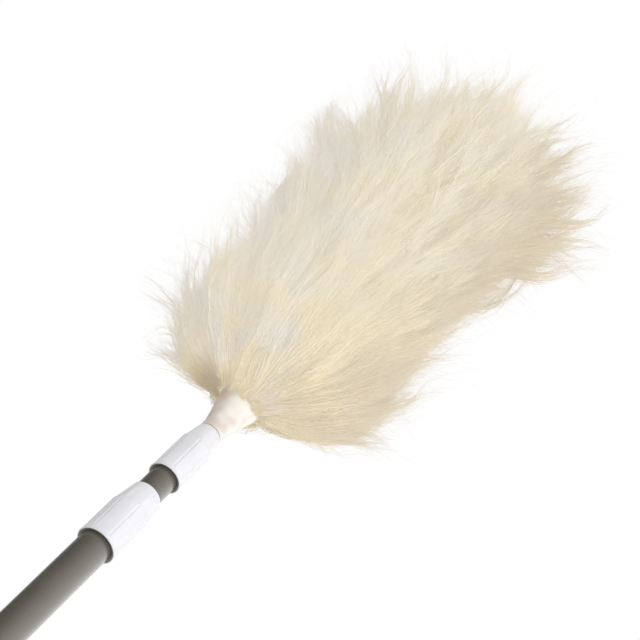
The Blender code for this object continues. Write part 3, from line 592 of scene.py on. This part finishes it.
woolShape = {
    # height over the ferrule's mouth and distance from the axis, up each of the four sides
    "left": (
        (0.007, 0.034), (0.019, 0.067), (0.036, 0.087), (0.074, 0.089), (0.125, 0.077), (0.165, 0.081),
        (0.215, 0.090), (0.255, 0.098), (0.300, 0.101), (0.343, 0.095), (0.369, 0.075), (0.382, 0.044)),
    "right": (
        (0.022, 0.027), (0.047, 0.058), (0.068, 0.080), (0.096, 0.073), (0.125, 0.066), (0.155, 0.060),
        (0.190, 0.055), (0.225, 0.057), (0.265, 0.061), (0.312, 0.074), (0.358, 0.099), (0.399, 0.106)),
    "far": (
        (0.018, 0.024), (0.052, 0.041), (0.082, 0.060), (0.108, 0.079), (0.136, 0.088), (0.168, 0.088),
        (0.210, 0.086), (0.255, 0.090), (0.300, 0.093), (0.340, 0.090), (0.370, 0.070), (0.385, 0.040)),
    "near": (
        (0.002, 0.026), (0.020, 0.056), (0.045, 0.080), (0.085, 0.088), (0.125, 0.086), (0.168, 0.085),
        (0.212, 0.087), (0.255, 0.090), (0.297, 0.090), (0.335, 0.088), (0.366, 0.081), (0.386, 0.062)),
    "top": 0.390, "closing": 0.25, "closingCurve": 1.3, "highest": 1.22, "roomAbove": (1.0, 1.0, 1.8),
    # how densely the locks stand, and the shares over which that changes
    "crowd": 0.80, "crowdLow": (1.0, 0.0, 0.12), "crowdHigh": (-0.7, 0.30, 0.50),
    "hideRadius": 0.0132, "rootStart": 0.0012, "rootEnd": 0.316, "sweep": 0.090}


def alongPoints(points, share):
    rows = np.array(points)
    rows = np.vstack((2 * rows[0] - rows[1], rows, 2 * rows[-1] - rows[-2]))
    place = np.clip(share, 0.0, 0.999999) * (len(rows) - 3)
    i = place.astype(int)
    t = (place - i)[..., None]
    a, b, c, d = rows[i], rows[i + 1], rows[i + 2], rows[i + 3]
    return 0.5 * (2 * b + (c - a) * t + (2 * a - 5 * b + 4 * c - d) * t ** 2
                  + (3 * b - a - 3 * c + d) * t ** 3)


# Height over the mouth and radius of the wool's outside; share 0 to 1 runs up the outline,
# and above 1 it closes over the tip
def woolOutside(share, angle):
    share, angle = np.broadcast_arrays(share, angle)
    across = np.where((np.cos(angle) > 0)[..., None],
                      alongPoints(woolShape["right"], share), alongPoints(woolShape["left"], share))
    along = np.where((np.sin(angle) > 0)[..., None],
                     alongPoints(woolShape["far"], share), alongPoints(woolShape["near"], share))
    side = (np.cos(angle) ** 2)[..., None]
    height, radius = np.moveaxis(across * side + along * (1 - side), -1, 0)
    over = np.clip((share - 1.0) / woolShape["closing"], 0.0, 1.0)
    radius = radius * np.sqrt(1 - over ** woolShape["closingCurve"])
    return height + (woolShape["top"] - height) * over, radius


# A hair starts on the hide as far behind its tip as the wool is swept forward
def woolRoot(height):
    return np.clip(height - woolShape["sweep"], woolShape["rootStart"], woolShape["rootEnd"])


def inSpace(height, radius, angle):
    return np.stack((radius * np.cos(angle), radius * np.sin(angle), mouthHeight + height), axis=-1)


def unit(vectors):
    return vectors / np.maximum(np.linalg.norm(vectors, axis=-1, keepdims=True), 1e-9)


def smooth(x, low, high):
    t = np.clip((x - low) / (high - low), 0.0, 1.0)
    return t * t * (3 - 2 * t)


# Lock tips spread over the wool's outside on a spiral, close together near the ferrule
def spreadTips(count):
    shares = np.linspace(0.0, woolShape["highest"], 500)
    angles = np.linspace(0, 2 * math.pi, 24, endpoint=False)
    points = inSpace(*woolOutside(shares[:, None], angles[None, :]), angles[None, :])
    steps = np.linalg.norm(np.diff(points, axis=0), axis=-1)
    radii = np.hypot(points[..., 0], points[..., 1])
    crowd = woolShape["crowd"]
    for more, *span in (woolShape["crowdLow"], woolShape["crowdHigh"]):
        crowd = crowd + more * smooth(shares, *span)
    area = ((radii[1:] + radii[:-1]) * steps).mean(axis=1) * (crowd[1:] + crowd[:-1])
    area = np.concatenate(([0.0], np.cumsum(area)))
    place = (np.arange(count) + 0.5) / count
    return np.interp(place * area[-1], area, shares), np.arange(count) * math.radians(137.508)


lockSettings = {
    "seed": 13, "count": 1250, "tufts": 4, "width": 0.0092, "fullLength": 0.080,
    # where a lock starts and ends, and how far it strays from there
    "shareStray": 0.008, "lowestShare": 0.012, "angleStray": 0.03, "heightStray": 0.012,
    "rootReach": 0.010, "rootTurn": 0.10, "stray": 0.0060, "drift": 0.013, "foot": 0.0016,
    "shortOnes": 0.30, "short": (0.80, 0.97), "long": (0.96, 1.10),
    # near the ferrule the wool folds over the cone's rim, higher up a lock's root is hidden
    "fold": 0.0100, "foldShares": (0.15, 0.42), "rimGap": 0.0006, "coneSlope": 0.24,
    "hidden": (0.03, 0.34), "hiddenShares": (0.30, 0.55),
    # how a lock bends, and how its tufts gather and part
    "wave": 0.0052, "waveSizes": (0.4, 1.5), "waveBeats": (0.6, 1.5), "bow": 0.14, "bowStray": 0.25,
    "bowShares": (0.04, 0.3), "hook": 0.0090, "lift": 0.0080, "sheet": 0.0330,
    "liftShares": (0.12, 0.42), "gather": 0.52, "gatherStray": 0.18, "lowGather": 0.22,
    "tuftPlace": (0.35, 0.85), "tuftStray": 0.0042, "tuftReach": (0.86, 1.12), "curl": 0.0026,
    "curlBeats": (1.0, 2.2),
    # what differs from hair to hair
    "begin": 0.035, "frizzSizes": (0.4, 1.6), "roll": 0.35, "thickness": (0.75, 1.2),
    "taper": (0.40, 1.02), "finerFoot": 0.55,
    # tones, and the shade at the ferrule, on the right side and in the low sheet of wool
    "tone": 0.60, "lockTone": 0.14, "tuftTone": 0.12, "hairTone": 0.075,
    "rootShade": 0.42, "sideShade": 0.33, "sheetShade": 0.24}
# The body of the locks, and the loose hairs that stand out of them
hairKinds = {
    "woolLocks": {
        "perTuft": 8, "steps": (0.0, 0.28, 0.52, 0.73, 0.89, 1.0), "spread": 0.34, "gather": 0.74,
        "frizz": 0.0012, "beats": (0.8, 2.0), "reach": (0.90, 1.06), "thick": 0.00034, "tip": 0.00005,
        "tone": 0.0, "room": 0.009, "perPiece": 6000},
    "woolFluff": {
        "perTuft": 3, "steps": (0.0, 0.25, 0.45, 0.62, 0.76, 0.89, 1.0), "spread": 0.70, "gather": 0.10,
        "frizz": 0.0042, "beats": (0.9, 2.4), "reach": (0.92, 1.24), "thick": 0.00016, "tip": 0.00003,
        "tone": 0.12, "room": 0.014, "perPiece": 5200}}


# Every lock: its root on the hide, its direction, its waves and its tufts
def layLocks(rng):
    s = lockSettings
    count, tufts = s["count"], s["tufts"]
    share, angle = spreadTips(count)
    share = np.maximum(share + rng.normal(0, s["shareStray"], count), s["lowestShare"])
    angle = angle + rng.normal(0, s["angleStray"], count)
    right, far = np.cos(angle), np.sin(angle)
    around = np.stack((-far, right, np.zeros(count)), axis=-1)
    height, radius = woolOutside(share, angle)
    start = woolRoot(height + rng.normal(0, s["heightStray"], count)) + rng.uniform(0, s["rootReach"], count)
    fold = (1 - smooth(share, *s["foldShares"])) * smooth(-far, 0.0, 0.85)
    start -= s["fold"] * fold * rng.uniform(0.5, 1.0, count) ** 0.5
    onCone = ferruleShape["mouth"] + s["rimGap"] + s["coneSlope"] * start
    root = inSpace(start, np.where(start < 0, onCone, woolShape["hideRadius"]),
                   angle + rng.normal(0, s["rootTurn"], count))
    tip = inSpace(height, radius, angle) + rng.normal(0, s["stray"], (count, 3))
    drift = np.sin(3 * angle + 9 * share + 1.0) + 0.7 * np.sin(7 * angle - 13 * share) + 0.5 * np.sin(
        11 * angle + 21 * share + 2.0)
    drift *= 1 - smooth(share, 0.70, 1.0)
    tip += s["drift"] * drift[:, None] * around
    reach = np.where(rng.uniform(0, 1, count) < s["shortOnes"], rng.uniform(*s["short"], count),
                     rng.uniform(*s["long"], count))
    tip = root + (tip - root) * reach[:, None]
    length = np.linalg.norm(tip - root, axis=-1)
    run = unit(tip - root)
    rise = unit(np.cross(run, around))
    rise *= np.sign(rise[:, 2])[:, None]                        # points to the tip of the head
    size = np.clip(length / s["fullLength"], 0.1, 1.0)
    turn = (np.arange(tufts) / tufts + rng.uniform(0, 1, count)[:, None]) * 2 * math.pi
    place = np.stack((np.cos(turn), np.sin(turn)), axis=-1) * rng.uniform(*s["tuftPlace"], (count, tufts, 1))
    sheet = (far > -0.1) * np.maximum(np.sin(2 * angle), 0.20 + 0.35 * smooth(right, -0.4, 0.4))
    hidden, hiddenMore = s["hidden"]
    return {
        "root": root, "run": run, "around": around, "rise": rise, "length": length, "size": size,
        "start": hidden + hiddenMore * smooth(share, *s["hiddenShares"]), "tuftPlace": place,
        "wave": s["wave"] * size[:, None] * rng.uniform(*s["waveSizes"], (count, 2)),
        "beat": rng.uniform(*s["waveBeats"], (count, 2)), "phase": rng.uniform(0, 1, (count, 2)),
        "bow": s["bow"] * length * smooth(share, *s["bowShares"]) * rng.normal(1.0, s["bowStray"], count),
        "lift": size * (s["lift"] + s["sheet"] * sheet) * (1 - smooth(share, *s["liftShares"])),
        "hook": size * s["hook"] * (rng.normal(0.2, 1.0, count) - 0.75 * smooth(-right, -0.3, 0.6)),
        "gather": np.clip(rng.normal(s["gather"], s["gatherStray"], count)
                          + s["lowGather"] * (1 - smooth(share, 0.15, 0.4)), 0.0, 0.92),
        "tone": rng.normal(0.0, s["lockTone"], (count, 1)) + rng.normal(0.0, s["tuftTone"], (count, tufts)),
        "tuftReach": rng.uniform(*s["tuftReach"], (count, tufts)),
        "shade": -s["rootShade"] * (1 - smooth(share, 0.01, 0.12))
                 - s["sideShade"] * smooth(right, 0.1, 0.9) * smooth(share, 0.02, 0.15)
                 - s["sheetShade"] * smooth(right, 0.0, 0.5) * smooth(far, -0.4, 0.1) * (
                     1 - smooth(share, 0.15, 0.35)),
        "tuftStray": rng.normal(0, s["tuftStray"], (count, tufts, 2)),
        "curl": rng.normal(0, s["curl"], (count, tufts, 2)),
        "curlPhase": rng.uniform(0, 1, (count, tufts, 2)),
        "curlBeat": rng.uniform(*s["curlBeats"], (count, tufts, 2))}


def swing(beats, t, phase):
    return np.sin(2 * math.pi * (beats * t + phase))


# Every hair of one kind: its path, half width and flat side at each step, and its tone
def growHair(locks, kind, rng):
    s = lockSettings
    tufts = s["tufts"]
    many = s["count"] * tufts * kind["perTuft"]
    lock = np.repeat(np.arange(s["count"]), tufts * kind["perTuft"])
    tuft = np.tile(np.repeat(np.arange(tufts), kind["perTuft"]), s["count"])
    own = rng.normal(0, kind["spread"], (many, 2))
    reach = locks["tuftReach"][lock, tuft] * rng.uniform(*kind["reach"], many)
    reach -= 0.08 * np.minimum(np.linalg.norm(own, axis=-1), 1.0)
    steps = np.array(kind["steps"])
    begin = (locks["start"][lock] + rng.uniform(0.0, s["begin"], many))[:, None]
    t = begin + (reach[:, None] - begin) * steps[None, :]

    # how far the hair is from its lock's line, round the head and towards its tip
    size = locks["size"][lock][:, None]
    wide = s["width"] * size
    spread = wide * t ** 0.85 * (1 - locks["gather"][lock][:, None] * smooth(t, 0.45, 1.05))
    tight = wide * t ** 0.7 * (1 - kind["gather"] * smooth(t, 0.40, 1.0))
    side = []
    for k in range(2):
        offset = locks["tuftPlace"][lock, tuft, k][:, None] * spread + own[:, k, None] * tight
        offset += size * locks["tuftStray"][lock, tuft, k][:, None] * t ** 3
        offset += size * locks["curl"][lock, tuft, k][:, None] * t ** 2 * swing(
            locks["curlBeat"][lock, tuft, k][:, None], t, locks["curlPhase"][lock, tuft, k][:, None])
        offset += locks["wave"][lock, k, None] * t ** 1.5 * swing(
            locks["beat"][lock, k, None], t, locks["phase"][lock, k, None])
        frizz = size * kind["frizz"] * rng.uniform(*s["frizzSizes"], (many, 1))
        offset += frizz * t ** 1.6 * swing(
            rng.uniform(*kind["beats"], (many, 1)), t, rng.uniform(0, 1, (many, 1)))
        side.append(offset)
    side[1] += locks["hook"][lock][:, None] * t ** 4 + locks["lift"][lock][:, None] * t
    side[1] -= locks["bow"][lock][:, None] * 4 * t * (1 - t) * (t < 1)
    side[0] += rng.normal(0, s["foot"], (many, 1)) * np.clip(1 - t, 0.0, 1.0) ** 3

    around = locks["around"][lock][:, None, :]
    rise = locks["rise"][lock][:, None, :]
    along = (locks["run"] * locks["length"][:, None])[lock][:, None, :]
    paths = (locks["root"][lock][:, None, :] + along * t[..., None]
             + around * side[0][..., None] + rise * side[1][..., None])
    # no hair leaves the room round the head
    low, high = (np.array(corner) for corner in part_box("wool_pile"))
    foot = paths[:, :1]
    above = kind["room"] * np.array(woolShape["roomAbove"])
    room = np.where(paths > foot, high + above - foot, foot - low + kind["room"])
    share = np.min(room / np.maximum(np.abs(paths - foot), 1e-6), axis=(1, 2), keepdims=True)
    paths = foot + (paths - foot) * np.minimum(share, 1.0)
    roll = rng.normal(0, s["roll"], (many, 1, 1))
    flat = around * np.sin(roll) - rise * np.cos(roll)
    heading = unit(np.gradient(paths, axis=1))
    flat = unit(flat - heading * (flat * heading).sum(axis=-1, keepdims=True))
    body = kind["thick"] * rng.uniform(*s["thickness"], (many, 1))
    radii = kind["tip"] + (body - kind["tip"]) * (1 - smooth(steps, *s["taper"]))[None, :]
    radii[:, 0] *= s["finerFoot"]
    shade = locks["shade"][lock]
    tone = (locks["tone"][lock, tuft] + rng.normal(0, s["hairTone"], many) + kind["tone"]) * (1 + 1.4 * shade)
    tone += s["tone"] + shade
    return {"paths": paths, "radii": radii, "flat": flat, "tone": np.clip(tone, 0.02, 0.98),
            "along": np.clip(t, 0.0, 1.0)}


# Turns a mesh of lines into thin three-sided hairs. The lines' attributes say how wide they are and
# which way their flat side looks
def makeTubesTree():
    tree = bpy.data.node_groups.new("hairTubes", "GeometryNodeTree")
    for way in ("INPUT", "OUTPUT"):
        tree.interface.new_socket(name="Geometry", in_out=way, socket_type="NodeSocketGeometry")
    into = addNode(tree, "NodeGroupInput", (-1000, 0))
    flat = addNode(tree, "GeometryNodeInputNamedAttribute", (-800, -200),
                   {"data_type": "FLOAT_VECTOR"}, {"Name": "flat"})
    wide = addNode(tree, "GeometryNodeInputNamedAttribute", (-550, -550),
                   {"data_type": "FLOAT"}, {"Name": "wide"})
    lines = addNode(tree, "GeometryNodeMeshToCurve", (-800, 0), None, {"Mesh": into.outputs["Geometry"]})
    turned = addNode(tree, "GeometryNodeSetCurveNormal", (-550, 0), {"mode": "FREE"},
                     {"Curve": lines.outputs["Curve"], "Normal": flat.outputs["Attribute"]})
    section = addNode(tree, "GeometryNodeCurvePrimitiveCircle", (-800, -400), None,
                      {"Resolution": 3, "Radius": 1.0})
    thin = addNode(tree, "GeometryNodeTransform", (-550, -300), None,
                   {"Geometry": section.outputs["Curve"], "Scale": (0.36, 1.0, 1.0)})
    tubes = addNode(tree, "GeometryNodeCurveToMesh", (-250, 0), None, {
        "Curve": turned.outputs["Curve"], "Profile Curve": thin.outputs["Geometry"],
        "Scale": wide.outputs["Attribute"], "Fill Caps": True})
    addNode(tree, "NodeGroupOutput", (400, 0), None, {"Geometry": tubes.outputs["Mesh"]})
    return tree


# Map: each hair is a narrow column at its tone, as high as it is long
def mapHair(mesh, points, tone, along):
    corners = np.empty(len(mesh.loops), np.int32)
    starts = np.empty(len(mesh.polygons), np.int32)
    totals = np.empty(len(mesh.polygons), np.int32)
    mesh.loops.foreach_get("vertex_index", corners)
    mesh.polygons.foreach_get("loop_start", starts)
    mesh.polygons.foreach_get("loop_total", totals)
    face = np.repeat(np.arange(len(totals)), totals)
    hair = corners // (points * 3)
    ring = corners % (points * 3) // 3
    corner = corners % 3
    lowest = np.minimum.reduceat(corner, starts)[face]
    highest = np.maximum.reduceat(corner, starts)[face]
    isWall = (totals == 4)[face]
    right = np.where(isWall, (corner != (4 - lowest - highest) % 3).astype(float), corner / 2)
    u = tone[hair] * 0.96 + 0.02 + (right - 0.5) * 0.016
    v = along[hair, ring] * 0.97 + 0.01 + np.where(isWall, 0.0, (corner == 1) * 0.012)
    layer = mesh.uv_layers.new(name="OFBake")
    layer.data.foreach_set("uv", np.stack((u, v), axis=-1).astype(np.float32).ravel())


def makeHairPiece(name, hair, part, tubes):
    paths = hair["paths"][part]
    count, points = paths.shape[:2]
    lines = bpy.data.meshes.new(name + "Lines")
    lines.vertices.add(count * points)
    lines.vertices.foreach_set("co", paths.astype(np.float32).ravel())
    lines.edges.add(count * (points - 1))
    first = np.arange(count)[:, None] * points + np.arange(points - 1)[None, :]
    lines.edges.foreach_set("vertices", np.stack((first, first + 1), axis=-1).astype(np.int32).ravel())
    wide = lines.attributes.new("wide", "FLOAT", "POINT")
    wide.data.foreach_set("value", hair["radii"][part].astype(np.float32).ravel())
    flat = lines.attributes.new("flat", "FLOAT_VECTOR", "POINT")
    flat.data.foreach_set("vector", hair["flat"][part].astype(np.float32).ravel())
    bundle = addObject(name + "Lines", lines)
    bundle.modifiers.new("tubes", "NODES").node_group = tubes
    graph = bpy.context.evaluated_depsgraph_get()
    mesh = bpy.data.meshes.new_from_object(bundle.evaluated_get(graph))
    bpy.data.objects.remove(bundle)
    mesh.name = name
    mesh.shade_smooth()
    mapHair(mesh, points, hair["tone"][part], hair["along"][part])
    for key in ("wide", "flat"):
        mesh.attributes.remove(mesh.attributes[key])
    mesh.materials.clear()
    mesh.materials.append(finish["wool"])
    obj = addObject(name, mesh)
    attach(obj, "inner_section")
    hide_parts("wool_pile")
    obj.visible_diffuse = False                                 # wool lets most of the soft light through


def makeHair():
    rng = np.random.default_rng(lockSettings["seed"])
    tubes = makeTubesTree()
    locks = layLocks(rng)
    for name, kind in hairKinds.items():
        hair = growHair(locks, kind, rng)
        pieces = math.ceil(len(hair["tone"]) / kind["perPiece"])
        for i in range(pieces):
            makeHairPiece(name + "%02d" % (i + 1), hair, slice(i, None, pieces), tubes)
        print(name, len(hair["tone"]), "hairs in", pieces, "pieces")


underShape = {
    "share": 0.66, "lump": 0.05, "reach": 1.24, "columns": 96, "rows": 72, "bore": 0.0131, "seed": 5,
    "lowPart": 0.18, "fullFrom": 0.32, "overRod": 0.002, "topOverBore": 0.022, "least": 0.0006}


# Dense wool next to the hide: a closed body with a bore round the wound strip
def makeUndercoat():
    shape = underShape
    rows, bore, least = shape["rows"], shape["bore"], shape["least"]
    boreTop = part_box("core_rod")[1].z - mouthHeight + shape["overRod"]
    bm = bmesh.new()
    bmesh.ops.create_grid(bm, x_segments=shape["columns"], y_segments=rows, size=0.5)
    phase = np.random.default_rng(shape["seed"]).uniform(0, 2 * math.pi, 6)
    for vert in bm.verts:
        turn = (vert.co.x + 0.5) * 2 * math.pi
        step = round((vert.co.y + 0.5) * rows)
        if step == 0:
            height, radius = boreTop, 0.0
        elif step == 1:
            height, radius = boreTop, bore
        elif step == 2:
            height, radius = -0.0005, bore
        elif step == rows:
            height, radius = boreTop + shape["topOverBore"], 0.0
        else:
            share = shape["reach"] * (step - 3) / (rows - 4)
            outHeight, outRadius = (float(value) for value in woolOutside(np.array(share), np.array(turn)))
            part = shape["share"] + shape["lump"] * (
                math.sin(5 * turn + 31 * share + phase[0]) * math.sin(23 * share + phase[1])
                + 0.6 * math.sin(9 * turn - 44 * share + phase[2]))
            part *= shape["lowPart"] + (1 - shape["lowPart"]) * float(smooth(share, 0.0, shape["fullFrom"]))
            height = float(woolRoot(outHeight)) * (1 - part) + outHeight * part
            radius = max(bore + least, bore + (outRadius - bore) * part)
            if share > 1.0:
                radius = max(least, outRadius * part)
                height = max(height, boreTop + 0.003)
        vert.co = (radius * math.cos(turn), radius * math.sin(turn), mouthHeight + height)
    bmesh.ops.remove_doubles(bm, verts=bm.verts, dist=1e-6)
    bmesh.ops.recalc_face_normals(bm, faces=bm.faces)
    finishPiece("woolUndercoat", bm, "inner_section", "wool", "wool_pile", 180, woolUnder)


makeUndercoat()
print("undercoat made")
makeHair()


# Studio

studio = {
    "lens": 100.0, "sensor": 36.0, "place": (-0.00270, -0.87286, -0.23436),
    "right": (0.6984, -0.5148, 0.4972), "up": (-0.7157, -0.5024, 0.4852), "back": (0.0, -0.6947, -0.7193),
    "ambient": 0.84, "mirrored": (0.0, 1.65, -0.65, 0.75), "white": (1.0, 1.0, 1.0, 1.0),
    "aim": (0.0, 0.0, 0.62), "lampSize": 1.6, "floor": -0.62, "floorSize": 6.0}
lamps = {"keyLamp": (25.0, (1.30, -1.75, -0.20)), "fillLamp": (5.0, (-1.3, -0.9, 2.3))}
floorLook = {"Base Color": (0.88, 0.88, 0.88, 1.0), "Roughness": 0.9, "Specular IOR Level": 0.0}

camera = addObject("camera", bpy.data.cameras.new("camera"))
camera.data.lens = studio["lens"]
camera.data.sensor_width = studio["sensor"]
camera.data.clip_end = 50.0
axes = [Vector(studio[key]).normalized() for key in ("right", "up", "back")]
camera.matrix_world = Matrix.Translation(studio["place"]) @ Matrix(axes).transposed().to_4x4()
bpy.context.scene.camera = camera

for name, (power, place) in lamps.items():
    lamp = bpy.data.lights.new(name, "AREA")
    lamp.shape = "DISK"
    lamp.energy = power
    lamp.size = studio["lampSize"]
    lampObject = addObject(name, lamp)
    lampObject.location = place
    lampObject.rotation_euler = (Vector(studio["aim"]) - Vector(place)).to_track_quat("-Z", "Y").to_euler()
    lampObject.visible_camera = False
    lampObject.visible_glossy = False

bm = bmesh.new()
bmesh.ops.create_grid(bm, x_segments=2, y_segments=2, size=studio["floorSize"],
                      matrix=Matrix.Translation((0, 0, studio["floor"])))
floorMesh = bpy.data.meshes.new("studioFloor")
bm.to_mesh(floorMesh)
bm.free()
floorMesh.materials.append(startMaterial("paleFloor", floorLook)[0])
addObject("studioFloor", floorMesh)

# white to the eye, shaded from side to side in reflections, softer as a light
world = bpy.data.worlds.new("studio")
bpy.context.scene.world = world
world.use_nodes = True
tree = world.node_tree
light = tree.nodes["Background"]
feed(tree, light, {"Color": studio["white"], "Strength": studio["ambient"]})
seen = addNode(tree, "ShaderNodeBackground", (-200, -200), None, {"Color": studio["white"], "Strength": 1.0})
direction = addNode(tree, "ShaderNodeTexCoord", (-900, -400)).outputs["Generated"]
apart = addNode(tree, "ShaderNodeSeparateXYZ", (-700, -400), None, {0: direction})
sides = addNode(tree, "ShaderNodeBackground", (-200, -400), None, {
    "Color": studio["white"],
    "Strength": mapValue(tree, (-450, -400), apart.outputs["X"], *studio["mirrored"])})
rays = addNode(tree, "ShaderNodeLightPath", (-700, 200)).outputs
either = calculate(tree, "MAXIMUM", (-450, 200), rays["Is Camera Ray"], rays["Is Transmission Ray"])
both = addNode(tree, "ShaderNodeMixShader", (50, 0), None, {
    "Fac": either, 1: light.outputs["Background"], 2: seen.outputs["Background"]})
mirrored = addNode(tree, "ShaderNodeMixShader", (250, 0), None, {
    "Fac": rays["Is Glossy Ray"], 1: both.outputs["Shader"], 2: sides.outputs["Background"]})
feed(tree, tree.nodes["World Output"], {"Surface": mirrored.outputs["Shader"]})
bpy.context.scene.view_settings.view_transform = "Standard"
print("studio set")
